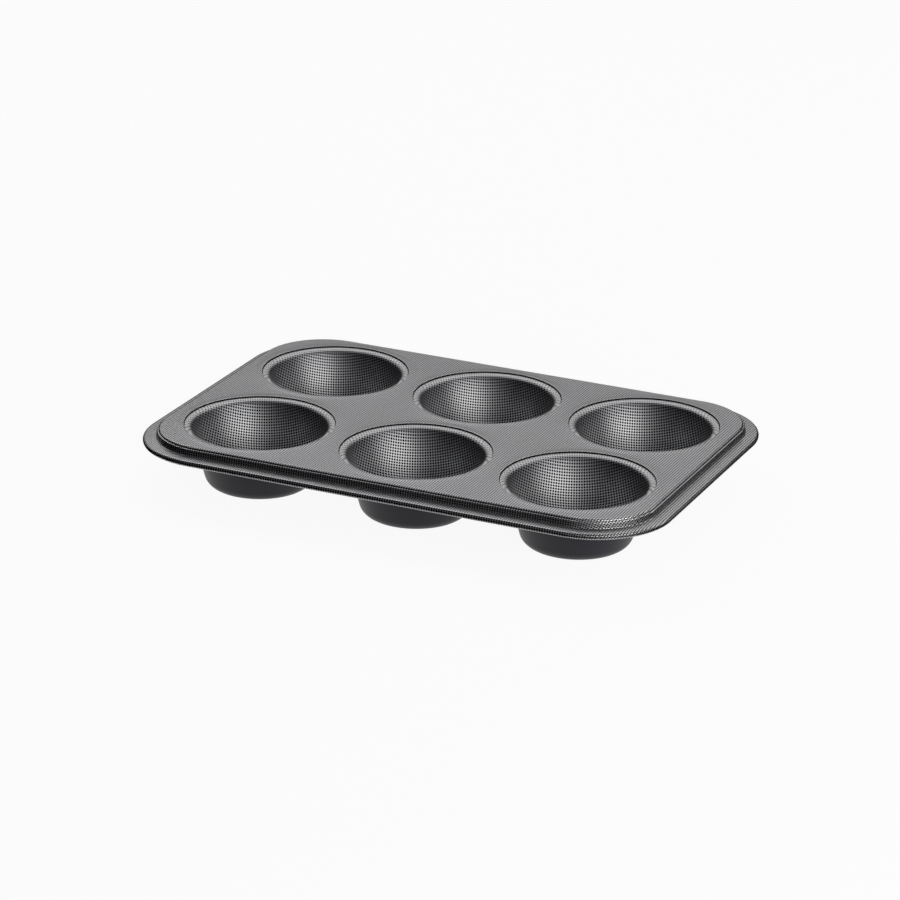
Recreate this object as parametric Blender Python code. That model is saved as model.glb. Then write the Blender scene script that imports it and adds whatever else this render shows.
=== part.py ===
import math

import bmesh
import bpy

MM = 0.001

# Sheet steel and fits.
FRAME_SHEET = 0.6 * MM
CUP_SHEET = 0.6 * MM
FIT_GAP = 0.3 * MM  # clearance between pieces that touch on the real pan

# Deck of the frame. The flats are what is left of it outside the raised collars.
DECK_HEIGHT = 30.5 * MM  # top of the deck above the undersides of the cups
MOUTH_RADIUS = 36.4 * MM  # turned-down edge round a cup
COLLAR_WIDTH = 3.6 * MM
COLLAR_SLOPE = 2.0 * MM  # part of the collar's width that rises
COLLAR_HEIGHT = 0.25 * MM
FLAT_BETWEEN_COLUMNS = 2.0 * MM
FLAT_BETWEEN_ROWS = 0.5 * MM
FLAT_AT_ENDS = 3.6 * MM
FLAT_AT_SIDES = 2.95 * MM
CORNER_RADIUS = 30.7 * MM

# Stepped skirt, flange and rolled edge of the frame.
STEP_DROP = 1.05 * MM
STEP_WIDTH = 0.8 * MM
SKIRT_LEAN = 0.7 * MM  # how far the skirt runs outward on its way down
FLANGE_DROP = 4.2 * MM  # top of the flange below the top of the deck
FLANGE_WIDTH = 4.85 * MM
FLANGE_BEND = 0.9 * MM
WIRE_RADIUS = 0.6 * MM
SEAM_GAP = 0.5 * MM  # between the end of the roll and the flange above it
BEND = 0.4 * MM  # small bends, at the middle of the sheet

# Cups.
CUP_RECESS = 1.05 * MM  # cup's flange below the top of the collar
CUP_FLANGE = 1.1 * MM
CUP_MOUTH_BEND = 0.6 * MM
CUP_FOOT_RADIUS = 24.2 * MM  # where the line of the wall meets the line of the base
CUP_FOOT_BEND = 6.2 * MM
FOLD_REACH = 1.3 * MM  # pressed fold that locks the cup under the frame's seat

COLUMNS = ("left", "middle", "right")
ROWS = ("front", "back")

# Facets.
CUP_SIDES = 32
CORNER_STEPS = 7
ROLL_STEPS = 10
FOOT_STEPS = 3
MOUTH_STEPS = 1
WIRE_SIDES = 8

# Heights and radii that follow from the sizes above.
deck_middle = DECK_HEIGHT - FRAME_SHEET / 2
collar_radius = MOUTH_RADIUS + COLLAR_WIDTH
pitch_x = 2 * collar_radius + FLAT_BETWEEN_COLUMNS
pitch_y = 2 * collar_radius + FLAT_BETWEEN_ROWS
deck_half_length = (len(COLUMNS) - 1) * pitch_x / 2 + collar_radius + FLAT_AT_ENDS
deck_half_width = (len(ROWS) - 1) * pitch_y / 2 + collar_radius + FLAT_AT_SIDES
cup_flange_middle = DECK_HEIGHT + COLLAR_HEIGHT - CUP_RECESS - CUP_SHEET / 2
cup_flange_radius = MOUTH_RADIUS - FIT_GAP
cup_wall_top = cup_flange_radius - CUP_FLANGE
cup_foot_middle = CUP_SHEET / 2
cup_taper = math.atan2(cup_wall_top - CUP_FOOT_RADIUS, cup_flange_middle - cup_foot_middle)
seat_middle = cup_flange_middle - CUP_SHEET / 2 - FIT_GAP - FRAME_SHEET / 2
seat_radius = cup_wall_top + CUP_SHEET / 2 / math.cos(cup_taper) + FIT_GAP
roll_radius = WIRE_RADIUS + FIT_GAP + FRAME_SHEET / 2  # at the middle of the sheet
flange_middle = DECK_HEIGHT - FLANGE_DROP - FRAME_SHEET / 2
riser_offset = -FRAME_SHEET / 2  # middle of the step's riser, outside the deck's outline
skirt_top_offset = riser_offset + STEP_WIDTH
skirt_foot_offset = skirt_top_offset + SKIRT_LEAN
roll_offset = skirt_foot_offset + FLANGE_WIDTH
roll_height = flange_middle - roll_radius


def clear_scene():
    for item in list(bpy.data.objects):
        bpy.data.objects.remove(item, do_unlink=True)


def arc(centre, radius, start, end, steps):
    # Points of an arc in a section, from angle start to angle end.
    angles = [start + (end - start) * i / steps for i in range(steps + 1)]
    return [(centre[0] + radius * math.cos(a), centre[1] + radius * math.sin(a)) for a in angles]


def unit(a, b):
    length = math.dist(a, b)
    return (b[0] - a[0]) / length, (b[1] - a[1]) / length


def bent(corners, bends, steps):
    # A path through the corners, each inner one rounded to its bend radius in so many steps.
    path = [corners[0]]
    for i, (bend, count) in enumerate(zip(bends, steps), 1):
        corner = corners[i]
        back = unit(corner, corners[i - 1])
        ahead = unit(corner, corners[i + 1])
        half = math.acos(back[0] * ahead[0] + back[1] * ahead[1]) / 2
        tangent = bend / math.tan(half)
        bisector = unit((0, 0), (back[0] + ahead[0], back[1] + ahead[1]))
        centre = tuple(corner[k] + bisector[k] * bend / math.sin(half) for k in (0, 1))
        first = tuple(corner[k] + back[k] * tangent for k in (0, 1))
        last = tuple(corner[k] + ahead[k] * tangent for k in (0, 1))
        start = math.atan2(first[1] - centre[1], first[0] - centre[0])
        turn = math.atan2(last[1] - centre[1], last[0] - centre[0]) - start
        turn = (turn + math.pi) % (2 * math.pi) - math.pi
        path += arc(centre, bend, start, start + turn, count)
    return path + [corners[-1]]


def offset(path, distance, first_normal=None):
    # The path moved sideways, to the left of its direction, with mitred corners.
    sides = []
    for a, b in zip(path, path[1:]):
        along = unit(a, b)
        sides.append((-along[1], along[0]))
    moved = []
    for i, point in enumerate(path):
        before = sides[max(i - 1, 0)]
        after = sides[min(i, len(sides) - 1)]
        if i == 0 and first_normal:
            before = after = first_normal
        total = (before[0] + after[0], before[1] + after[1])
        scale = 2 * distance / (total[0] ** 2 + total[1] ** 2)
        moved.append((point[0] + total[0] * scale, point[1] + total[1] * scale))
    return moved


def around(radius, height, centre):
    # One ring of points round a cup's axis.
    angles = [2 * math.pi * i / CUP_SIDES for i in range(CUP_SIDES)]
    return [(centre[0] + radius * math.cos(a), centre[1] + radius * math.sin(a), height) for a in angles]


def outline(out, height):
    # One ring of points parallel to the deck's outline, this far outside it.
    radius = CORNER_RADIUS + out
    x = deck_half_length - CORNER_RADIUS
    y = deck_half_width - CORNER_RADIUS
    points = []
    for quarter, (sx, sy) in enumerate(((1, 1), (-1, 1), (-1, -1), (1, -1))):
        start = quarter * math.pi / 2
        corner = arc((sx * x, sy * y), radius, start, start + math.pi / 2, CORNER_STEPS)
        points += [(px, py, height) for px, py in corner]
    return points


def bridge(mesh, rings, closed=False):
    # Quads between each ring of vertices and the next.
    pairs = list(zip(rings, rings[1:]))
    if closed:
        pairs.append((rings[-1], rings[0]))
    for a, b in pairs:
        for i in range(len(a)):
            mesh.faces.new((a[i - 1], a[i], b[i], b[i - 1]))


def new_rings(mesh, rings):
    return [[mesh.verts.new(point) for point in ring] for ring in rings]


def ring_edges(mesh, ring):
    return [mesh.edges.get((ring[i - 1], ring[i])) for i in range(len(ring))]


def finish(mesh, name, material):
    # A mesh with its faces turned outward, shaded smooth but for its sharp edges.
    bmesh.ops.recalc_face_normals(mesh, faces=mesh.faces)
    data = bpy.data.meshes.new(name)
    mesh.to_mesh(data)
    mesh.free()
    data.materials.append(material)
    data.shade_smooth()
    data.set_sharp_from_angle(angle=math.radians(40))
    return data


def add_object(name, data, parent, location=(0, 0, 0)):
    item = bpy.data.objects.new(name, data)
    item.location = location
    item.parent = parent
    bpy.context.scene.collection.objects.link(item)
    return item


def steel(name, colour, roughness, metallic):
    material = bpy.data.materials.new(name)
    material.use_nodes = True
    shader = material.node_tree.nodes["Principled BSDF"]
    shader.inputs["Base Color"].default_value = (*colour, 1)
    shader.inputs["Roughness"].default_value = roughness
    shader.inputs["Metallic"].default_value = metallic
    material.diffuse_color = (*colour, 1)
    return material


def cup_places():
    # Name and centre of each cup.
    for row, row_name in enumerate(ROWS):
        for column, column_name in enumerate(COLUMNS):
            x = (column - (len(COLUMNS) - 1) / 2) * pitch_x
            y = (row - (len(ROWS) - 1) / 2) * pitch_y
            yield f"cup_{row_name}_{column_name}", (x, y)


def mouth_section():
    # Middle of the frame's sheet, from the foot of a collar in to the edge of the seat.
    collar_top = deck_middle + COLLAR_HEIGHT
    face = MOUTH_RADIUS + FRAME_SHEET / 2
    corners = [
        (collar_radius - COLLAR_SLOPE, collar_top),
        (face, collar_top),
        (face, seat_middle),
        (seat_radius, seat_middle),
    ]
    return [(collar_radius, deck_middle)] + bent(corners, (BEND, BEND), (1, 1))


def rim_section():
    # Middle of the frame's sheet, from the flat of the deck out to the end of the roll.
    step_height = deck_middle - STEP_DROP
    corners = [
        (riser_offset - 2 * BEND, deck_middle),
        (riser_offset, deck_middle),
        (riser_offset, step_height),
        (skirt_top_offset, step_height),
        (skirt_foot_offset, flange_middle),
        (roll_offset, flange_middle),
    ]
    path = bent(corners, (BEND, BEND, BEND, FLANGE_BEND), (1, 1, 1, 2))
    inner = roll_radius - FRAME_SHEET / 2
    outer = roll_radius + FRAME_SHEET / 2
    end = -math.pi - math.asin((inner - SEAM_GAP) / outer)
    return path[:-1] + arc((roll_offset, roll_height), roll_radius, math.pi / 2, end, ROLL_STEPS)


def build_frame(material, parent):
    mesh = bmesh.new()
    half = FRAME_SHEET / 2
    middle = rim_section()
    section = offset(middle, half) + offset(middle, -half)[::-1]
    rings = new_rings(mesh, [outline(out, height) for out, height in section])
    bridge(mesh, rings)
    top_edges = ring_edges(mesh, rings[0])
    bottom_edges = ring_edges(mesh, rings[-1])
    # Run inward, the middle of the sheet has the deck's top on its right.
    middle = mouth_section()
    top = offset(middle, -half, first_normal=(0, -1))
    bottom = offset(middle, half, first_normal=(0, -1))
    for _, centre in cup_places():
        section = top + bottom[::-1]
        rings = new_rings(mesh, [around(radius, height, centre) for radius, height in section])
        bridge(mesh, rings)
        top_edges += ring_edges(mesh, rings[0])
        bottom_edges += ring_edges(mesh, rings[-1])
    for edges in (top_edges, bottom_edges):
        bmesh.ops.triangle_fill(mesh, use_beauty=True, use_dissolve=False, edges=edges)
    return add_object("frame", finish(mesh, "frame", material), parent)


def build_wire(material, parent):
    mesh = bmesh.new()
    circle = arc((roll_offset, roll_height), WIRE_RADIUS, 0, 2 * math.pi, WIRE_SIDES)[:-1]
    bridge(mesh, new_rings(mesh, [outline(out, height) for out, height in circle]), closed=True)
    return add_object("rim_wire", finish(mesh, "rim_wire", material), parent)


def wall_outside(height):
    # Radius of the outside of a cup's wall at a height.
    middle = cup_wall_top - (cup_flange_middle - height) * math.tan(cup_taper)
    return middle + CUP_SHEET / 2 / math.cos(cup_taper)


def fold_section():
    # Outside of the pressed fold, top to bottom: two layers of the cup's sheet.
    top = seat_middle - FRAME_SHEET / 2 - FIT_GAP
    bottom = top - 2 * CUP_SHEET
    tip = wall_outside(top) + FOLD_REACH
    bevel = CUP_SHEET / 2
    return [
        (wall_outside(top), top),
        (tip - bevel, top),
        (tip, top - bevel),
        (tip, bottom + bevel),
        (tip - bevel, bottom),
        (wall_outside(bottom), bottom),
    ]


def cup_mesh(material):
    corners = [
        (cup_flange_radius, cup_flange_middle),
        (cup_wall_top, cup_flange_middle),
        (CUP_FOOT_RADIUS, cup_foot_middle),
        (0, cup_foot_middle),
    ]
    middle = bent(corners, (CUP_MOUTH_BEND, CUP_FOOT_BEND), (MOUTH_STEPS, FOOT_STEPS))
    inside = offset(middle, -CUP_SHEET / 2)
    outside = offset(middle, CUP_SHEET / 2)
    mouth_points = MOUTH_STEPS + 2  # the edge of the flange and its bend
    outside = outside[:mouth_points] + fold_section() + outside[mouth_points:]
    mesh = bmesh.new()
    section = inside[:-1][::-1] + outside[:-1]
    rings = new_rings(mesh, [around(radius, height, (0, 0)) for radius, height in section])
    bridge(mesh, rings)
    for ring, height in ((rings[0], inside[-1][1]), (rings[-1], outside[-1][1])):
        pole = mesh.verts.new((0, 0, height))
        for i in range(len(ring)):
            mesh.faces.new((ring[i - 1], ring[i], pole))
    return finish(mesh, "cup", material)


def main():
    clear_scene()
    pan = add_object("muffin_pan", None, None)
    frame_coating = steel("coated_steel_frame", (0.17, 0.17, 0.18), 0.38, 0.6)
    cup_coating = steel("coated_steel_cup", (0.12, 0.12, 0.13), 0.34, 0.6)
    wire_steel = steel("bright_wire", (0.55, 0.55, 0.56), 0.35, 1.0)
    build_frame(frame_coating, pan)
    build_wire(wire_steel, pan)
    cup = cup_mesh(cup_coating)
    for name, (x, y) in cup_places():
        add_object(name, cup, pan, (x, y, 0))


main()
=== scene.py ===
import math

import bmesh
import bpy
import numpy as np
from mathutils import Matrix, Vector


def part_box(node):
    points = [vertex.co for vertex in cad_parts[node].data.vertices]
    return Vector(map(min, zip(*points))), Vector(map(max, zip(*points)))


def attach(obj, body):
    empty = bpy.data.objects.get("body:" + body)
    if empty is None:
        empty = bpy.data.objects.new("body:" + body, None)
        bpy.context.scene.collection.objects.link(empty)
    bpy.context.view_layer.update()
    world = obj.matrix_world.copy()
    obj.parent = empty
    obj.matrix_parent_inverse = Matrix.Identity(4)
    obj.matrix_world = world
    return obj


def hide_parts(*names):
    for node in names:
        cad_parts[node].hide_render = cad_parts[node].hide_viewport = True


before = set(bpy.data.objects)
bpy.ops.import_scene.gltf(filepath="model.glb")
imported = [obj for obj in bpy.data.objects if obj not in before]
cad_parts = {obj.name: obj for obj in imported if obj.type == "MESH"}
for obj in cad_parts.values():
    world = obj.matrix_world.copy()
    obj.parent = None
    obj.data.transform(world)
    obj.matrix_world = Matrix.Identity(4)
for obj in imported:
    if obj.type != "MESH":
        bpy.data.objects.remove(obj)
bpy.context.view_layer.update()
print("frame loaded:", ", ".join(sorted(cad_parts)))

mm = 0.001  # every length below is in mm, and becomes metres where a mesh or a pattern is made
weld = 0.01  # points closer than this become one
slack = 0.001  # for rounding, where a place is compared with a radius
sharpAngle = 50  # degrees; edges that turn more than this stay crisp


def addNode(tree, kind, inputs=None, **settings):
    # One node with its settings; an input is a value or another node's output.
    # A Mix node takes its two colours at 6 and 7 and gives the mixed one at 2
    node = tree.nodes.new(kind)
    for name, value in settings.items():
        setattr(node, name, value)
    for socket, value in (inputs or {}).items():
        if isinstance(value, bpy.types.NodeSocket):
            tree.links.new(value, node.inputs[socket])
        else:
            node.inputs[socket].default_value = value
    return node


def linearColour(hexColour):
    # sRGB hex to the linear colour that shaders take
    parts = [int(hexColour[i:i + 2], 16) / 255 for i in (1, 3, 5)]
    return [c / 12.92 if c <= 0.04045 else ((c + 0.055) / 1.055) ** 2.4 for c in parts] + [1.0]


def newMaterial(name):
    # A material with its tree in use, and the shader that the tree starts with
    material = bpy.data.materials.new(name)
    material.use_nodes = True
    return material, material.node_tree.nodes["Principled BSDF"]


# Pressed dots of the coating, spaced in mm. Drawing a cup from the dotted sheet stretches their rows:
# across the far wall they stay level and even, and they climb towards its sides
dots = {
    "deckPitchX": 1.24,
    "deckPitchY": 1.0,
    "basePitch": 1.24,
    "wallMiddle": 114.57,  # direction in which a cup's rows lie level, degrees from +X
    "wallColumns": 30.4,  # per radian at the mouth
    "columnsLost": 0.384,  # per mm down the wall
    "columnsSettle": 22.0,  # mm down the wall where that loss ends
    "columnTurn": 1.05,  # the higher, the more the columns spread out towards the sides
    "evenUntil": 68.0,  # degrees to each side of the middle; past them the columns left are spread evenly
    "columnsAround": 140,
    "rowsAtMouth": 0.547,  # per mm
    "rowsGained": 0.0039,
    "rowClimb": 0.286,  # per mm of distance from the cup's middle
    "climbTurn": 1.45,  # the higher, the nearer to the middle the rows climb
    "climbUntil": 124.1,  # degrees to each side, where the climb ends
    "radius": 0.38,  # in dot spacings
    "softEdge": 0.08,
    "depth": 0.1,
}


def sprayedGround(tree, look):
    # Spraying leaves clouds a few centimetres wide, and a grain finer than a dot
    place = addNode(tree, "ShaderNodeTexCoord")
    noise = {}
    for part in ("cloud", "grain"):
        noise[part] = addNode(
            tree,
            "ShaderNodeTexNoise",
            {
                "Vector": place.outputs["Object"],
                "Scale": 1 / (look[part] * mm),
                "Detail": look[part + "Detail"],
            },
        ).outputs["Fac"]
    ground = addNode(
        tree,
        "ShaderNodeMix",
        {"Factor": noise["cloud"], 6: linearColour(look["ground"]), 7: linearColour(look["groundWorn"])},
        data_type="RGBA",
    )
    return noise["cloud"], noise["grain"], ground.outputs[2]


def dottedCoating(name, look):
    # Non-stick coating sprayed on embossed steel: satin, flaked like metal, dark in each pressed dot
    material, shader = newMaterial(name)
    tree = material.node_tree
    cloud, grain, colour = sprayedGround(tree, look)
    grid = addNode(tree, "ShaderNodeUVMap", uv_map="dotGrid")
    cell = addNode(tree, "ShaderNodeVectorMath", {0: grid.outputs[0]}, operation="FRACTION")
    centred = addNode(
        tree, "ShaderNodeVectorMath", {0: cell.outputs[0], 1: (0.5, 0.5, 0)}, operation="SUBTRACT"
    )
    away = addNode(tree, "ShaderNodeVectorMath", {0: centred.outputs[0]}, operation="LENGTH")
    # Painted highlight on the lip: its dots are smaller and its ground has a colour of its own, so it reads
    # bright
    paintedLipHighlight = addNode(tree, "ShaderNodeAttribute", attribute_name="paintedLipHighlight")
    shrunk = addNode(
        tree,
        "ShaderNodeMath",
        {0: paintedLipHighlight.outputs["Fac"], 1: look["lipHighlightShrink"], 2: away.outputs["Value"]},
        operation="MULTIPLY_ADD",
    )
    dot = addNode(
        tree,
        "ShaderNodeMapRange",
        {
            "Value": shrunk.outputs[0],
            "From Min": dots["radius"] - dots["softEdge"],
            "From Max": dots["radius"] + dots["softEdge"],
            "To Min": 1.0,
            "To Max": 0.0,
        },
        interpolation_type="SMOOTHSTEP",
    )
    # Painted shade under the lip: the ground is darker, most at the top of the wall
    wallShadeAttribute = addNode(tree, "ShaderNodeAttribute", attribute_name="paintedWallShade")
    layers = {
        "paintedWallShade": wallShadeAttribute.outputs["Fac"],
        "lipHighlightGround": paintedLipHighlight.outputs["Fac"],
        "dot": dot.outputs["Result"],
    }
    for layer, share in layers.items():
        colour = addNode(
            tree,
            "ShaderNodeMix",
            {"Factor": share, 6: colour, 7: linearColour(look[layer])},
            data_type="RGBA",
        ).outputs[2]
    rough = addNode(
        tree,
        "ShaderNodeMapRange",
        {"Value": dot.outputs["Result"], "To Min": look["roughness"], "To Max": look["dotRoughness"]},
    )
    roughCloud = addNode(
        tree,
        "ShaderNodeMath",
        {0: cloud, 1: look["roughChange"], 2: rough.outputs["Result"]},
        operation="MULTIPLY_ADD",
    )
    pits = addNode(
        tree,
        "ShaderNodeBump",
        {"Strength": look["dotBump"], "Distance": dots["depth"] * mm, "Height": dot.outputs["Result"]},
        invert=True,
    )
    bump = addNode(
        tree,
        "ShaderNodeBump",
        {
            "Strength": look["grainBump"],
            "Distance": look["grainDepth"] * mm,
            "Height": grain,
            "Normal": pits.outputs["Normal"],
        },
    )
    tree.links.new(colour, shader.inputs["Base Color"])
    tree.links.new(roughCloud.outputs[0], shader.inputs["Roughness"])
    tree.links.new(bump.outputs["Normal"], shader.inputs["Normal"])
    shader.inputs["Metallic"].default_value = look["metallic"]
    return material


def plainCoating(name, look):
    # The same coating where the sheet is smooth: near black, with a low sheen
    material, shader = newMaterial(name)
    tree = material.node_tree
    cloud, grain, colour = sprayedGround(tree, look)
    rough = addNode(
        tree,
        "ShaderNodeMapRange",
        {"Value": cloud, "To Min": look["roughness"], "To Max": look["roughness"] + look["roughChange"]},
    )
    bump = addNode(
        tree,
        "ShaderNodeBump",
        {"Strength": look["grainBump"], "Distance": look["grainDepth"] * mm, "Height": grain},
    )
    tree.links.new(colour, shader.inputs["Base Color"])
    tree.links.new(rough.outputs["Result"], shader.inputs["Roughness"])
    tree.links.new(bump.outputs["Normal"], shader.inputs["Normal"])
    shader.inputs["Specular IOR Level"].default_value = look["specular"]
    return material


def drawnWire(name, look):
    # Plain drawn steel wire: bright, with a fine uneven grain
    material, shader = newMaterial(name)
    tree = material.node_tree
    place = addNode(tree, "ShaderNodeTexCoord")
    grain = addNode(
        tree,
        "ShaderNodeTexNoise",
        {
            "Vector": place.outputs["Object"],
            "Scale": 1 / (look["grain"] * mm),
            "Detail": look["grainDetail"],
        },
    ).outputs["Fac"]
    colour = addNode(
        tree,
        "ShaderNodeMix",
        {"Factor": grain, 6: linearColour(look["ground"]), 7: linearColour(look["groundWorn"])},
        data_type="RGBA",
    )
    rough = addNode(
        tree,
        "ShaderNodeMapRange",
        {"Value": grain, "To Min": look["roughness"], "To Max": look["roughness"] + look["roughChange"]},
    )
    tree.links.new(colour.outputs[2], shader.inputs["Base Color"])
    tree.links.new(rough.outputs["Result"], shader.inputs["Roughness"])
    shader.inputs["Metallic"].default_value = 1.0
    return material


# Upper side: the ground shines a mid grey under soft light, and the dots stay nearly black
upperLook = {
    "ground": "#c8c8c9",
    "groundWorn": "#d0d0d1",
    "dot": "#09090c",
    # Painted shade under a cup's lip, darkest at the top of the wall
    "paintedWallShade": "#767679",
    # Painted highlight on a cup's lip, with the smaller dots below
    "lipHighlightGround": "#c6c6c6",
    "lipHighlightShrink": 0.13,  # in dot spacings
    "roughness": 0.3,
    "dotRoughness": 0.42,
    "roughChange": 0.03,
    "cloud": 30,
    "cloudDetail": 3.0,
    "grain": 0.25,
    "grainDetail": 2.0,
    "grainBump": 0.1,
    "grainDepth": 0.05,
    "dotBump": 0.15,
    "metallic": 1.0,
}
# In the cups the gloss spreads wider, as if drawing had opened the dots a little
cupLook = {
    **upperLook,
    # A lighter ground than on the deck: painted light on the lower walls, going with the painted shade under
    # the lip
    "ground": "#cdcdce",
    "groundWorn": "#d5d5d6",
    "roughness": 0.44,
    "dotRoughness": 0.52,
}
# Smooth sides that face down or out: near black, and a little cooler than the upper side
underLook = {
    "ground": "#1a1a20",
    "groundWorn": "#1f1f26",
    "roughness": 0.4,
    "roughChange": 0.05,
    "specular": 0.3,
    "cloud": 30,
    "cloudDetail": 3.0,
    "grain": 0.25,
    "grainDetail": 2.0,
    "grainBump": 0.1,
    "grainDepth": 0.05,
}
# Painted shade at a mouth: matt and blacker still, it draws the thin line round each cup
seamShadeLook = {
    **underLook,
    "ground": "#08080a",
    "groundWorn": "#0b0b0d",
    "roughness": 0.5,
    "specular": 0.08,
}
wireLook = {
    "ground": "#b9b9ba",
    "groundWorn": "#a6a6a8",
    "roughness": 0.3,
    "roughChange": 0.1,
    "grain": 0.3,
    "grainDetail": 3.0,
}
dottedNonStick = dottedCoating("dottedNonStickCoating", upperLook)
drawnNonStick = dottedCoating("dottedNonStickDrawnInCups", cupLook)
plainNonStick = plainCoating("plainNonStickCoating", underLook)
# Painted shade for the seam round each mouth
seamPaintedShade = plainCoating("mattPaintedShadeInSeam", seamShadeLook)
steelWire = drawnWire("drawnSteelWire", wireLook)
print("coatings ready")


def arc(centre, radius, start, end, steps):
    # Points of an arc in a section, from angle start to angle end
    angles = [start + (end - start) * i / steps for i in range(steps + 1)]
    return [(centre[0] + radius * math.cos(a), centre[1] + radius * math.sin(a)) for a in angles]


def unit(a, b):
    # Direction from a to b, of length 1
    length = math.dist(a, b)
    return (b[0] - a[0]) / length, (b[1] - a[1]) / length


def bent(corners, bends, steps):
    # A path through the corners, each inner one rounded to its bend radius in so many steps
    path = [corners[0]]
    for i, (bend, count) in enumerate(zip(bends, steps), 1):
        corner = corners[i]
        back = unit(corner, corners[i - 1])
        ahead = unit(corner, corners[i + 1])
        half = math.acos(back[0] * ahead[0] + back[1] * ahead[1]) / 2
        tangent = bend / math.tan(half)
        bisector = unit((0, 0), (back[0] + ahead[0], back[1] + ahead[1]))
        centre = tuple(corner[k] + bisector[k] * bend / math.sin(half) for k in (0, 1))
        first = tuple(corner[k] + back[k] * tangent for k in (0, 1))
        last = tuple(corner[k] + ahead[k] * tangent for k in (0, 1))
        start = math.atan2(first[1] - centre[1], first[0] - centre[0])
        turn = math.atan2(last[1] - centre[1], last[0] - centre[0]) - start
        turn = (turn + math.pi) % (2 * math.pi) - math.pi
        path += arc(centre, bend, start, start + turn, count)
    return path + [corners[-1]]


def offset(path, distance):
    # The path moved sideways, to the left of its direction, with mitred corners
    sides = []
    for a, b in zip(path, path[1:]):
        along = unit(a, b)
        sides.append((-along[1], along[0]))
    moved = []
    for i, point in enumerate(path):
        before = sides[max(i - 1, 0)]
        after = sides[min(i, len(sides) - 1)]
        total = (before[0] + after[0], before[1] + after[1])
        scale = 2 * distance / (total[0] ** 2 + total[1] ** 2)
        moved.append((point[0] + total[0] * scale, point[1] + total[1] * scale))
    return moved


def lengthsAlong(path):
    # Distance of each point from the path's start, measured along the sheet
    lengths = [0.0]
    for a, b in zip(path, path[1:]):
        lengths.append(lengths[-1] + math.dist(a, b))
    return lengths


railPoints = 720  # in each corner of a rail, before it is stepped out evenly
# A face's mark is the mean of its corners' marks, which are 1 above, 0 below and -1 in the seam
dottedAbove = 0.75
seamBelow = -0.25


def sweptSheetTree():
    # Carries a section round a rounded rectangle, or round a circle when its corners take up each side
    tree = bpy.data.node_groups.new("sweptSheet", "GeometryNodeTree")
    wanted = (
        ("Section", "NodeSocketGeometry"),
        ("Length", "NodeSocketFloat"),
        ("Width", "NodeSocketFloat"),
        ("Corner Radius", "NodeSocketFloat"),
        ("Steps", "NodeSocketInt"),
        ("Upper Coating", "NodeSocketMaterial"),
        ("Under Coating", "NodeSocketMaterial"),
        ("Seam Coating", "NodeSocketMaterial"),
    )
    for name, kind in wanted:
        tree.interface.new_socket(name, in_out="INPUT", socket_type=kind)
    tree.interface.new_socket("Sheet", in_out="OUTPUT", socket_type="NodeSocketGeometry")
    given = addNode(tree, "NodeGroupInput").outputs
    box = addNode(
        tree, "GeometryNodeCurvePrimitiveQuadrilateral", {"Width": given["Length"], "Height": given["Width"]}
    )
    rounded = addNode(
        tree,
        "GeometryNodeFilletCurve",
        {
            "Curve": box.outputs[0],
            "Count": railPoints,
            "Radius": given["Corner Radius"],
            "Limit Radius": True,
        },
        mode="POLY",
    )
    rail = addNode(
        tree,
        "GeometryNodeResampleCurve",
        {"Curve": rounded.outputs[0], "Count": given["Steps"]},
        mode="COUNT",
    )
    profile = addNode(tree, "GeometryNodeMeshToCurve", {"Mesh": given["Section"]})
    swept = addNode(
        tree, "GeometryNodeCurveToMesh", {"Curve": rail.outputs[0], "Profile Curve": profile.outputs[0]}
    )
    # Closes the sweep's seam, and the middle of a cup's base, where every section ends in one point
    merged = addNode(
        tree, "GeometryNodeMergeByDistance", {"Geometry": swept.outputs[0], "Distance": weld * mm}
    )
    real = addNode(tree, "GeometryNodeRealizeInstances", {"Geometry": merged.outputs[0]})
    smooth = addNode(tree, "GeometryNodeSetShadeSmooth", {"Geometry": real.outputs[0]})
    coated = addNode(
        tree, "GeometryNodeSetMaterial", {"Geometry": smooth.outputs[0], "Material": given["Under Coating"]}
    )
    mark = addNode(tree, "GeometryNodeInputNamedAttribute", {"Name": "upper"}, data_type="FLOAT")
    tests = (("Upper Coating", "GREATER_THAN", dottedAbove), ("Seam Coating", "LESS_THAN", seamBelow))
    for coating, operation, limit in tests:
        chosen = addNode(
            tree,
            "FunctionNodeCompare",
            {0: mark.outputs[0], 1: limit},
            data_type="FLOAT",
            operation=operation,
        )
        coated = addNode(
            tree,
            "GeometryNodeSetMaterial",
            {"Geometry": coated.outputs[0], "Selection": chosen.outputs[0], "Material": given[coating]},
        )
    addNode(tree, "NodeGroupOutput", {0: coated.outputs[0]})
    return tree


sweepTree = sweptSheetTree()


def sweep(name, section, marks, length, width, cornerRadius, steps, coatings):
    # A section in (out, height), swept by the tree; returns the plain mesh, in metres.
    # Marks are lists of values for the section's points, and become attributes of the mesh
    line = bpy.data.meshes.new(name + "Section")
    # The tree lays a profile's Y downward
    line.from_pydata(
        [(out * mm, -height * mm, 0) for out, height in section],
        [(i, i + 1) for i in range(len(section) - 1)],
        [],
    )
    for attribute, values in marks.items():
        line.attributes.new(attribute, "FLOAT", "POINT").data.foreach_set("value", values)
    holder = bpy.data.objects.new(name + "Section", line)
    bpy.context.scene.collection.objects.link(holder)
    modifier = holder.modifiers.new("sweep", "NODES")
    modifier.node_group = sweepTree
    settings = {
        "Length": length * mm,
        "Width": width * mm,
        "Corner Radius": cornerRadius * mm,
        "Steps": steps,
        "Upper Coating": coatings[0],
        "Under Coating": coatings[1],
        "Seam Coating": coatings[2],
    }
    for item in sweepTree.interface.items_tree:
        if item.in_out == "INPUT" and item.name in settings:
            modifier[item.identifier] = settings[item.name]
    evaluated = holder.evaluated_get(bpy.context.evaluated_depsgraph_get())
    mesh = bpy.data.meshes.new_from_object(evaluated)
    mesh.name = name
    bpy.data.objects.remove(holder, do_unlink=True)
    return mesh


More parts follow.
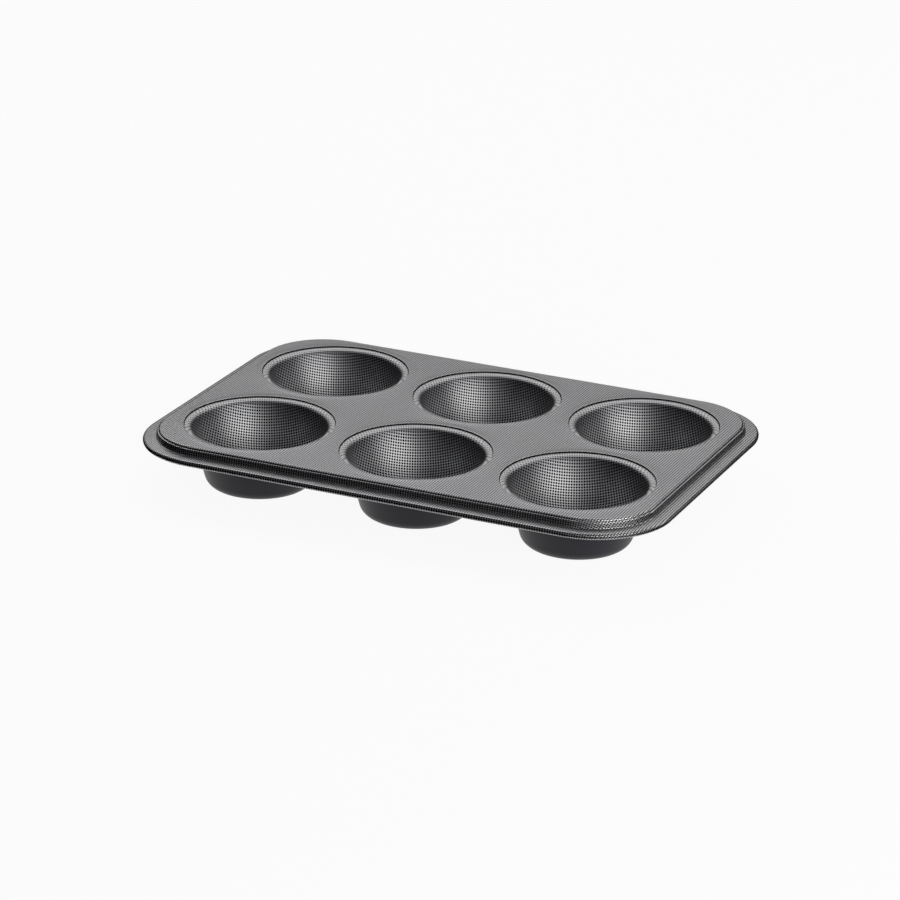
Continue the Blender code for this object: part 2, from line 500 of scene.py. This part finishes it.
def countOpen(data):
    # Edges that don't have exactly two faces: 0 on a closed mesh
    uses = np.zeros(len(data.edges), dtype=int)
    edgeIndexes = np.zeros(len(data.loops), dtype=int)
    data.loops.foreach_get("edge_index", edgeIndexes)
    np.add.at(uses, edgeIndexes, 1)
    return int((uses != 2).sum())


def addPiece(name, mesh, slotName, *nodes):
    # A finished piece at the origin, standing for its CAD node
    piece = bpy.data.objects.new(name, mesh)
    bpy.context.scene.collection.objects.link(piece)
    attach(piece, "root")
    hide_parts(*nodes)
    return piece


# The frame's one sheet: deck, collars, seats, stepped skirt, flange and rolled edge
tray = {
    "height": 30.5,  # top of the deck above the table
    "sheet": 0.6,
    "cornerRadius": 30.7,
    "bend": 0.34,  # at the middle of the sheet, like the other bends but those of the mouths
    "bendSteps": 4,
    "fitGap": 0.3,  # between pieces that touch on the real pan
    "mouthRadius": 36.0,
    "mouthBends": (0.2, 0.1),  # upper side, at the edge and at the seat
    "mouthUnderBends": (0.1, 0.5),
    "mouthSides": 180,
    "collarWidth": 4.1,
    "collarSlope": 3.0,
    "collarHeight": 0.18,
    "collarSteps": 5,
    "seatPast": 0.02,  # the seat ends this far before the place where the cup starts to turn down
    "edgeBend": 0.7,
    "edgeFlat": 1.2,  # flat strip that belongs to the swept edge, wider than its bend
    "stepDrop": 1.05,
    "stepWidth": 0.8,
    "skirtLean": 0.4,
    "flangeDrop": 4.2,
    "flangeWidth": 5.15,
    "flangeBend": 0.7,
    "rollSteps": 26,
    "rollGap": 0.5,  # from the end of the roll up to the underside of the flange
    "edgeSteps": 640,  # along the whole edge
}
wire = {
    "radius": 0.6,
    "sides": 20,
}
cup = {
    "sheet": 0.6,
    "recess": 0.67,  # cup's flange below the top of the collar
    "flange": 2.8,
    "mouthBend": 2.9,
    "mouthSteps": 12,
    "footRadius": 24.9,
    "footBend": 6.2,
    "footSteps": 8,
    "wallSteps": 14,
    "foldBelow": 0.2,  # from the end of the mouth's bend, or from under the seat, down to the fold
    "foldReach": 1.3,
    "foldSteps": 3,
    "sides": 180,
    "lipHighlightEnd": 4.0,  # mm in from the flange's edge, as the two below
    # Painted shade under the lip runs between these two lengths
    "wallShadeFrom": 3.0,
    "wallShadeUntil": 17.5,
    "lipHighlightFade": 1.4,
}

# Heights and radii that follow, at the middle of the sheet
deckMiddle = tray["height"] - tray["sheet"] / 2
collarRadius = tray["mouthRadius"] + tray["collarWidth"]
cupFlangeMiddle = tray["height"] + tray["collarHeight"] - cup["recess"] - cup["sheet"] / 2
cupFlangeRadius = tray["mouthRadius"] - tray["fitGap"]
cupWallTop = cupFlangeRadius - cup["flange"]
cupFootMiddle = cup["sheet"] / 2
cupTaper = math.atan2(cupWallTop - cup["footRadius"], cupFlangeMiddle - cupFootMiddle)
seatMiddle = cupFlangeMiddle - cup["sheet"] / 2 - tray["fitGap"] - tray["sheet"] / 2
mouthBendCentre = cupWallTop + cup["mouthBend"] * math.tan((math.pi / 2 - cupTaper) / 2)
seatRadius = mouthBendCentre + tray["seatPast"]
rollRadius = wire["radius"] + tray["fitGap"] + tray["sheet"] / 2
flangeMiddle = tray["height"] - tray["flangeDrop"] - tray["sheet"] / 2
riserOffset = -tray["sheet"] / 2
skirtTopOffset = riserOffset + tray["stepWidth"]
skirtFootOffset = skirtTopOffset + tray["skirtLean"]
rollOffset = skirtFootOffset + tray["flangeWidth"]
rollHeight = flangeMiddle - rollRadius
rimReach = rollOffset + rollRadius + tray["sheet"] / 2

# Places come from the frame: the deck's outline lies inside the rolled edge, and each cup has its centre
lowCorner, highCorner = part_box("frame")
deckHalfLength = (highCorner.x - lowCorner.x) / 2 / mm - rimReach
deckHalfWidth = (highCorner.y - lowCorner.y) / 2 / mm - rimReach
cupNames = sorted(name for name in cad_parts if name.startswith("cup_"))
cupCentres = {}
for name in cupNames:
    low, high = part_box(name)
    cupCentres[name] = ((low.x + high.x) / 2 / mm, (low.y + high.y) / 2 / mm)
print("deck half sizes", round(deckHalfLength, 2), round(deckHalfWidth, 2))


def mouthSection(side, bends):
    # One side of the frame's sheet (1 upper, -1 lower), from the foot of a collar in to the seat's end
    shift = side * tray["sheet"] / 2
    collarTop = deckMiddle + tray["collarHeight"] + shift
    rise = []
    for i in range(tray["collarSteps"]):
        share = i / tray["collarSteps"]
        height = deckMiddle + shift + tray["collarHeight"] * (1 - math.cos(math.pi * share)) / 2
        rise.append((collarRadius - tray["collarSlope"] * share, height))
    face = tray["mouthRadius"] + tray["sheet"] / 2 - shift
    corners = [
        (collarRadius - tray["collarSlope"], collarTop),
        (face, collarTop),
        (face, seatMiddle + shift),
        (seatRadius, seatMiddle + shift),
    ]
    return rise + bent(corners, bends, (tray["bendSteps"], tray["bendSteps"]))


def rimSection():
    # Middle of the frame's sheet, from the flat of the deck out to the end of the roll
    stepHeight = deckMiddle - tray["stepDrop"]
    corners = [
        (riserOffset - tray["edgeFlat"], deckMiddle),
        (riserOffset, deckMiddle),
        (riserOffset, stepHeight),
        (skirtTopOffset, stepHeight),
        (skirtFootOffset, flangeMiddle),
        (rollOffset, flangeMiddle),
    ]
    bends = (tray["edgeBend"], tray["bend"], tray["bend"], tray["flangeBend"])
    path = bent(corners, bends, [tray["bendSteps"]] * len(bends))
    inner = rollRadius - tray["sheet"] / 2
    outer = rollRadius + tray["sheet"] / 2
    end = -math.pi - math.asin((inner - tray["rollGap"]) / outer)
    roll = arc((rollOffset, rollHeight), rollRadius, math.pi / 2, end, tray["rollSteps"])
    return path[:-1] + roll


def sweptRim(coatings):
    # Edge of the deck, step, skirt, flange and roll, in one sweep round the pan
    middle = rimSection()
    top = offset(middle, tray["sheet"] / 2)
    bottom = offset(middle, -tray["sheet"] / 2)
    marks = {
        "upper": [1.0] * len(top) + [0.0] * len(bottom),
        "along": lengthsAlong(top) + [0.0] * len(bottom),
    }
    return sweep(
        "rimSweep",
        top + bottom[::-1],
        marks,
        2 * deckHalfLength,
        2 * deckHalfWidth,
        tray["cornerRadius"],
        tray["edgeSteps"],
        coatings,
    )


def sweptMouth(coatings):
    # Collar, turned-down edge and seat of one mouth, round the origin
    top = mouthSection(1, tray["mouthBends"])
    bottom = mouthSection(-1, tray["mouthUnderBends"])
    # The sweep's faces point to the left of the way the section runs, so it runs outward here
    section = [(r - collarRadius, h) for r, h in bottom + top[::-1]]
    # The seat's end, its bend and half of the edge's bend: the seam's painted shade goes there, smooth and
    # matt
    seamCount = 1 + (tray["bendSteps"] + 1) + (tray["bendSteps"] // 2 + 1)
    marks = {
        "upper": [0.0] * len(bottom) + [-1.0] * seamCount + [1.0] * (len(top) - seamCount),
        "along": [0.0] * len(bottom) + lengthsAlong(top)[::-1],
    }
    size = 2 * collarRadius
    return sweep("mouthSweep", section, marks, size, size, collarRadius, tray["mouthSides"], coatings)


def fillDeck(mesh):
    # Flat of the deck, dotted above (slot 1) and plain below (slot 0), between the rim and the mouths
    for height, slotIndex in ((tray["height"], 1), (tray["height"] - tray["sheet"], 0)):
        edges = []
        for edge in mesh.edges:
            if edge.is_boundary and all(abs(v.co.z / mm - height) < weld for v in edge.verts):
                edges.append(edge)
        filled = bmesh.ops.triangle_fill(mesh, use_beauty=True, use_dissolve=False, edges=edges)
        for face in filled["geom"]:
            if isinstance(face, bmesh.types.BMFace):
                face.material_index = slotIndex
                face.smooth = True


def blankPoint(x, y, along, centres):
    # Where a point of the frame lay on the flat sheet before pressing
    for cx, cy in centres:
        reach = math.hypot(x - cx, y - cy)
        if reach < collarRadius + slack:
            scale = (collarRadius - along) / reach
            return cx + (x - cx) * scale, cy + (y - cy) * scale
    straightX = deckHalfLength - tray["cornerRadius"]
    straightY = deckHalfWidth - tray["cornerRadius"]
    innerX = min(max(x, -straightX), straightX)
    innerY = min(max(y, -straightY), straightY)
    reach = math.hypot(x - innerX, y - innerY)
    start = tray["cornerRadius"] + riserOffset - tray["edgeFlat"]
    if reach < start - slack:
        return x, y
    scale = (start + along) / reach
    return innerX + (x - innerX) * scale, innerY + (y - innerY) * scale


def layDeckDots(mesh):
    # The grid of dots lies on the sheet as it was before pressing
    grid = mesh.loops.layers.uv.new("dotGrid")
    alongLayer = mesh.verts.layers.float["along"]
    centres = list(cupCentres.values())
    blank = {}
    for vertex in mesh.verts:
        blank[vertex] = blankPoint(vertex.co.x / mm, vertex.co.y / mm, vertex[alongLayer], centres)
    smoothReach = (tray["mouthRadius"] + tray["mouthBends"][0]) * mm
    for face in mesh.faces:
        middle = face.calc_center_median()
        # No dots on the tight edge of a mouth: a whole number is a corner of the grid, between dots
        smooth = any(math.hypot(middle.x - x * mm, middle.y - y * mm) < smoothReach for x, y in centres)
        for loop in face.loops:
            x, y = blank[loop.vert]
            loop[grid].uv = (0, 0) if smooth else (x / dots["deckPitchX"], y / dots["deckPitchY"])


def buildFrame():
    coatings = (dottedNonStick, plainNonStick, seamPaintedShade)
    parts = [(sweptRim(coatings), (0, 0))]
    mouth = sweptMouth(coatings)
    parts += [(mouth, cupCentres[name]) for name in cupNames]
    mesh = bmesh.new()
    for part, (x, y) in parts:
        known = set(mesh.verts)
        mesh.from_mesh(part)
        for vertex in mesh.verts:
            if vertex not in known:
                vertex.co += Vector((x * mm, y * mm, 0))
    fillDeck(mesh)
    bmesh.ops.recalc_face_normals(mesh, faces=mesh.faces)
    layDeckDots(mesh)
    data = bpy.data.meshes.new("frame_sheet")
    mesh.to_mesh(data)
    mesh.free()
    print("frame open edges", countOpen(data))
    # Slots in the order in which the tree sets them
    for material in (plainNonStick, dottedNonStick, seamPaintedShade):
        data.materials.append(material)
    data.set_sharp_from_angle(angle=math.radians(sharpAngle))
    return addPiece("frame_sheet", data, "frame_coating", "frame")


def wallOutside(height):
    # Radius of the outside of a cup's wall at a height
    middle = cupWallTop - (cupFlangeMiddle - height) * math.tan(cupTaper)
    return middle + cup["sheet"] / 2 / math.cos(cupTaper)


def foldSection():
    # Outside of the pressed fold under the seat, top to bottom, its tip a rounded bend
    bendEnd = cupFlangeMiddle - cup["mouthBend"] * (1 - math.sin(cupTaper))
    top = min(seatMiddle - tray["sheet"] / 2 - tray["fitGap"], bendEnd) - cup["foldBelow"]
    bottom = top - 2 * cup["sheet"]
    tip = wallOutside(top) + cup["foldReach"]
    tipBend = cup["sheet"] / 2
    corners = [(wallOutside(top), top), (tip, top), (tip, bottom), (wallOutside(bottom), bottom)]
    return bent(corners, (tipBend, tipBend), (cup["foldSteps"], cup["foldSteps"]))


def cupSection():
    # Inside and outside of the cup, each from the flange's edge to the middle of the base
    corners = [
        (cupFlangeRadius, cupFlangeMiddle),
        (cupWallTop, cupFlangeMiddle),
        (cup["footRadius"], cupFootMiddle),
        (0, cupFootMiddle),
    ]
    middle = bent(corners, (cup["mouthBend"], cup["footBend"]), (cup["mouthSteps"], cup["footSteps"]))
    inside = offset(middle, -cup["sheet"] / 2)
    outside = offset(middle, cup["sheet"] / 2)
    mouthPoints = 1 + (cup["mouthSteps"] + 1)  # the flange's edge and its bend
    outside = outside[:mouthPoints] + foldSection() + outside[mouthPoints:]
    top = inside[mouthPoints - 1]
    foot = inside[mouthPoints]
    wall = []
    for i in range(1, cup["wallSteps"]):
        share = i / cup["wallSteps"]
        wall.append((top[0] + (foot[0] - top[0]) * share, top[1] + (foot[1] - top[1]) * share))
    return inside[:mouthPoints] + wall + inside[mouthPoints:], outside


def wallDot(turn, reach, along):
    # Column and row of the dots inside a cup, at degrees from the rows' middle, reach and depth in mm
    side = math.copysign(1, turn)
    turn = abs(turn)
    columns = dots["wallColumns"] - dots["columnsLost"] * min(along, dots["columnsSettle"])
    even = min(turn, dots["evenUntil"])
    column = columns * math.sin(math.radians(dots["columnTurn"] * even)) / dots["columnTurn"]
    if turn > even:
        left = dots["columnsAround"] / 2 - column
        column += left * (turn - even) / (180 - even)
    climb = math.cos(math.radians(dots["climbTurn"] * min(turn, dots["climbUntil"])))
    row = dots["rowsAtMouth"] * along + dots["rowsGained"] * along**2 - dots["rowClimb"] * reach * climb
    return side * column, row


def layCupDots(data, flatRadius):
    # Wall and foot follow the drawn rows, and the flat base has a square grid
    grid = data.uv_layers.new(name="dotGrid")
    alongValues = data.attributes["along"].data
    for face in data.polygons:
        onBase = all(math.hypot(*data.vertices[v].co.xy) / mm < flatRadius + slack for v in face.vertices)
        places = []
        for v in face.vertices:
            co = data.vertices[v].co / mm
            if onBase:
                places.append((co.x / dots["basePitch"], co.y / dots["basePitch"]))
                continue
            turn = dots["wallMiddle"] - math.degrees(math.atan2(co.y, co.x))
            turn = (turn + 180) % 360 - 180
            places.append(wallDot(turn, math.hypot(co.x, co.y), alongValues[v].value))
        for index, (column, row) in zip(face.loop_indices, places):
            # A face over the place where the columns close counts on from its first corner
            if not onBase:
                column += dots["columnsAround"] * round((places[0][0] - column) / dots["columnsAround"])
            grid.data[index].uv = (column, row)


def buildCup(name):
    inside, outside = cupSection()
    section = [(r - cupFlangeRadius, h) for r, h in inside[::-1] + outside]
    lengths = lengthsAlong(inside)[::-1]
    # Painted highlight on the lip, full near the flange's edge and gone past its end
    lipHighlightShare = [min(max((cup["lipHighlightEnd"] - length) / cup["lipHighlightFade"], 0), 1) for length in lengths]
    # Painted shade under the lip: full where it starts, fading to nothing down the wall
    wallShadeRange = cup["wallShadeUntil"] - cup["wallShadeFrom"]
    paintedWallShade = []
    for length in lengths:
        left = max((cup["wallShadeUntil"] - length) / wallShadeRange, 0)
        paintedWallShade.append(0 if length < cup["wallShadeFrom"] else left)
    plain = [0.0] * len(outside)
    marks = {
        "upper": [1.0] * len(inside) + plain,
        "along": lengths + plain,
        "paintedLipHighlight": lipHighlightShare + plain,
        "paintedWallShade": paintedWallShade + plain,
    }
    size = 2 * cupFlangeRadius
    coatings = (drawnNonStick, plainNonStick, seamPaintedShade)
    data = sweep(name + "_shell", section, marks, size, size, cupFlangeRadius, cup["sides"], coatings)
    layCupDots(data, flatRadius=inside[-2][0])
    x, y = cupCentres[name]
    data.transform(Matrix.Translation((x * mm, y * mm, 0)))
    data.set_sharp_from_angle(angle=math.radians(sharpAngle))
    print(name, "open edges", countOpen(data))
    return addPiece(name + "_shell", data, "cup_coating", name)


def buildWire():
    circle = arc((rollOffset, rollHeight), wire["radius"], 0, -2 * math.pi, wire["sides"])
    data = sweep(
        "rim_wire_drawn",
        circle,
        {"upper": [0.0] * len(circle)},
        2 * deckHalfLength,
        2 * deckHalfWidth,
        tray["cornerRadius"],
        tray["edgeSteps"],
        (steelWire, steelWire, steelWire),
    )
    print("wire open edges", countOpen(data))
    return addPiece("rim_wire_drawn", data, "rim_wire", "rim_wire")


buildFrame()
for cupName in cupNames:
    buildCup(cupName)
buildWire()
print("pieces ready")

# Camera, fitted to the photo
camera = {
    "azimuth": 24.57,
    "elevation": 21.22,
    "roll": 0.80,
    "distance": 1800.0,
    "lens": 151.5,
    "sensor": 36.0,
    "clipStart": 10.0,
    "aimSide": -1.07,  # the view's centre, right of and above the middle of the pan
    "aimUp": -12.12,
    "aimHeight": 30.05,
}
studio = {
    "floorRadius": 12000.0,
    "floorSides": 96,
    "floorBelow": 0.02,  # so that the cups' undersides don't share its plane
    "floorColour": "#f6f6f6",
    "floorRoughness": 0.9,
    "floorWhite": 0.93,  # share of plain white in what the camera sees of the floor
    "fill": 0.03,
    "fillColour": "#e0e0ff",
    "cardColour": "#0a0a0a",
    "cardSides": 144,
    "cardLift": 0.5,  # above the table
    "cardGap": 8.0,  # from the pan's outline to the card on the table
    "cardRadius": 290.0,
    "cardHeight": 72.0,
    # Stretches of azimuth with another radius and height: low before the key panel, and
    # close to the front right corner, which it shades more than the cups
    "cardStretches": ((15.0, 120.0, 290.0, 56.0), (44.0, 76.0, 168.0, 37.0)),
}
# Soft panels: azimuth from the front and elevation of the middle, distance, width, height, strength
panels = {
    "overhead": (190.0, 66.0, 1300.0, 2200.0, 1500.0, 0.9),
    "backPanel": (222.0, 30.0, 1700.0, 2900.0, 950.0, 0.64),
    "keyPanel": (63.0, 18.0, 1500.0, 1550.0, 650.0, 5.2),
    "sidePanel": (130.0, 26.0, 1500.0, 800.0, 700.0, 1.2),
    "nearPanel": (27.0, 15.0, 1500.0, 475.0, 600.0, 0.8),
    "frontPanel": (5.0, 15.0, 1500.0, 700.0, 600.0, 0.4),
}


def direction(azimuth, elevation):
    # Unit vector from the pan towards a place round it; azimuth 0 is the front
    a = math.radians(azimuth)
    e = math.radians(elevation)
    return Vector((math.sin(a) * math.cos(e), -math.cos(a) * math.cos(e), math.sin(e)))


def placeCamera():
    back = direction(camera["azimuth"], camera["elevation"])
    right = (-back).cross(Vector((0, 0, 1))).normalized()
    up = right.cross(-back)
    roll = math.radians(camera["roll"])
    tiltedRight = right * math.cos(roll) + up * math.sin(roll)
    tiltedUp = up * math.cos(roll) - right * math.sin(roll)
    aim = tiltedRight * camera["aimSide"] + tiltedUp * camera["aimUp"] + Vector((0, 0, camera["aimHeight"]))
    place = (aim + back * camera["distance"]) * mm
    turned = Matrix((tiltedRight, tiltedUp, back)).transposed().to_4x4()
    data = bpy.data.cameras.new("camera")
    data.lens = camera["lens"]
    data.sensor_width = camera["sensor"]
    data.clip_start = camera["clipStart"] * mm
    item = bpy.data.objects.new("camera", data)
    item.matrix_world = Matrix.Translation(place) @ turned
    bpy.context.scene.collection.objects.link(item)
    bpy.context.scene.camera = item


def addSoftbox(name, azimuth, elevation, distance, width, height, strength):
    # A soft panel that faces the pan; strength is what a white mirror would show of it
    place = direction(azimuth, elevation) * distance * mm
    data = bpy.data.lights.new(name, "AREA")
    data.shape = "RECTANGLE"
    data.size = width * mm
    data.size_y = height * mm
    data.energy = strength * math.pi * data.size * data.size_y
    item = bpy.data.objects.new(name, data)
    item.rotation_euler = place.to_track_quat("Z", "Y").to_euler()
    item.location = place
    item.visible_camera = False
    bpy.context.scene.collection.objects.link(item)


def addFlag():
    # Black card on the table round the pan and up, seen only in reflections, keeps the horizon dark
    mesh = bmesh.new()
    sides = studio["cardSides"]
    lift = studio["cardLift"]
    rings = [[], [], []]
    for i in range(sides):
        azimuth = 360 * (i + 0.5) / sides
        out = direction(azimuth, 0)
        radius = studio["cardRadius"]
        height = studio["cardHeight"]
        for start, end, stretchRadius, stretchHeight in studio["cardStretches"]:
            if start < azimuth < end:
                radius = stretchRadius
                height = stretchHeight
        outline = min(highCorner.x / abs(out.x), highCorner.y / abs(out.y)) / mm
        places = ((outline + studio["cardGap"], lift), (radius, lift), (radius, height))
        for ring, (reach, level) in zip(rings, places):
            ring.append(mesh.verts.new((out * reach + Vector((0, 0, level))) * mm))
    for lower, upper in zip(rings, rings[1:]):
        for i in range(sides):
            mesh.faces.new((lower[i - 1], lower[i], upper[i], upper[i - 1]))
    data = bpy.data.meshes.new("studio_flag")
    mesh.to_mesh(data)
    mesh.free()
    black, shader = newMaterial("blackCard")
    shader.inputs["Base Color"].default_value = linearColour(studio["cardColour"])
    shader.inputs["Roughness"].default_value = 1.0
    shader.inputs["Specular IOR Level"].default_value = 0.0
    data.materials.append(black)
    flag = bpy.data.objects.new("studio_flag", data)
    flag.visible_camera = False
    flag.visible_diffuse = False
    flag.visible_shadow = False
    bpy.context.scene.collection.objects.link(flag)


def floorPaint():
    # Matt white floor; what looks at it directly or in a reflection sees it white, less the pan's shadow
    material, shader = newMaterial("mattWhiteFloor")
    tree = material.node_tree
    shader.inputs["Base Color"].default_value = linearColour(studio["floorColour"])
    shader.inputs["Roughness"].default_value = studio["floorRoughness"]
    shader.inputs["Specular IOR Level"].default_value = 0.0
    rays = addNode(tree, "ShaderNodeLightPath").outputs
    seen = rays["Is Camera Ray"]
    for kind in ("Is Glossy Ray", "Is Transmission Ray"):
        seen = addNode(tree, "ShaderNodeMath", {0: seen, 1: rays[kind]}, operation="MAXIMUM").outputs[0]
    share = addNode(tree, "ShaderNodeMath", {0: seen, 1: studio["floorWhite"]}, operation="MULTIPLY")
    white = addNode(tree, "ShaderNodeEmission", {"Color": (1, 1, 1, 1), "Strength": 1.0})
    mixed = addNode(
        tree, "ShaderNodeMixShader", {0: share.outputs[0], 1: shader.outputs[0], 2: white.outputs[0]}
    )
    tree.links.new(mixed.outputs[0], tree.nodes["Material Output"].inputs["Surface"])
    return material


def buildStudio():
    mesh = bmesh.new()
    bmesh.ops.create_circle(
        mesh, cap_ends=True, segments=studio["floorSides"], radius=studio["floorRadius"] * mm
    )
    data = bpy.data.meshes.new("studio_floor")
    mesh.to_mesh(data)
    mesh.free()
    data.materials.append(floorPaint())
    floor = bpy.data.objects.new("studio_floor", data)
    floor.location.z = -studio["floorBelow"] * mm
    bpy.context.scene.collection.objects.link(floor)
    addFlag()
    for name, settings in panels.items():
        addSoftbox(name, *settings)
    world = bpy.data.worlds.new("studio")
    bpy.context.scene.world = world
    world.use_nodes = True
    background = world.node_tree.nodes["Background"]
    background.inputs["Color"].default_value = linearColour(studio["fillColour"])
    background.inputs["Strength"].default_value = studio["fill"]
    bpy.context.scene.view_settings.view_transform = "Standard"


placeCamera()
buildStudio()
print("studio ready")
